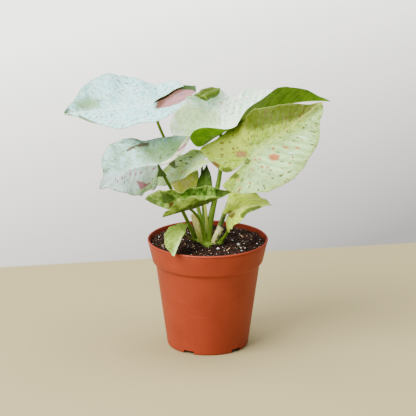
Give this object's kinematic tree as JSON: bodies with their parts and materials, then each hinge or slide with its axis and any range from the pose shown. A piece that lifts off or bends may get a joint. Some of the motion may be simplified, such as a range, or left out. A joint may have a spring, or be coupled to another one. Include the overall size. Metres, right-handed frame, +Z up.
{
  "type": "potted plant",
  "caption": "Potted arrowhead plant: pale marbled arrow-shaped leaves on slim green stems, in a tapered terracotta-coloured plastic nursery pot filled with soil.",
  "frame": {"origin": "on the pot's axis at its flat underside, on the surface that it stands on", "axes": "+Z up along the pot's axis, -Y towards the viewer of the picture, +X to the viewer's right"},
  "size_m": [0.2335, 0.1319, 0.2329],
  "materials": {
    "pot": "satin moulded plastic, terracotta colour",
    "soil": "dark potting mix with white perlite and tan bark",
    "stems": "smooth green petioles with cream and dry sheaths",
    "leaf_upper_left": "satin leaf, pale mint-white with grey-lilac flecks and a pink patch",
    "leaf_mid_left": "satin leaf, pale mint with pink and brown spots",
    "leaf_upper_right": "satin leaf, near-white upper face and bright green underside",
    "leaf_large_right": "satin leaf, light yellow-green with brown and salmon spots",
    "leaf_centre": "satin leaf, mint and mid green",
    "leaf_yellow": "satin leaf, yellow-green with lengthwise stripes",
    "leaf_centre_upright": "satin leaf, dark green",
    "leaf_low_folded": "satin leaf, mottled mid and dark green with pale margins",
    "leaf_low_right": "satin leaf, yellow-green with a brown spot",
    "leaf_small_drooping": "satin leaf, pale yellow-green, speckled"
  },
  "bodies": {
    "root": {"pot": "pot", "soil": "soil", "stems": "stems", "leaf_upper_left": "leaf_upper_left", "leaf_mid_left": "leaf_mid_left", "leaf_upper_right": "leaf_upper_right", "leaf_large_right": "leaf_large_right", "leaf_centre": "leaf_centre", "leaf_yellow": "leaf_yellow", "leaf_centre_upright": "leaf_centre_upright", "leaf_low_folded": "leaf_low_folded", "leaf_low_right": "leaf_low_right", "leaf_small_drooping": "leaf_small_drooping"}
  },
  "joints": []
}
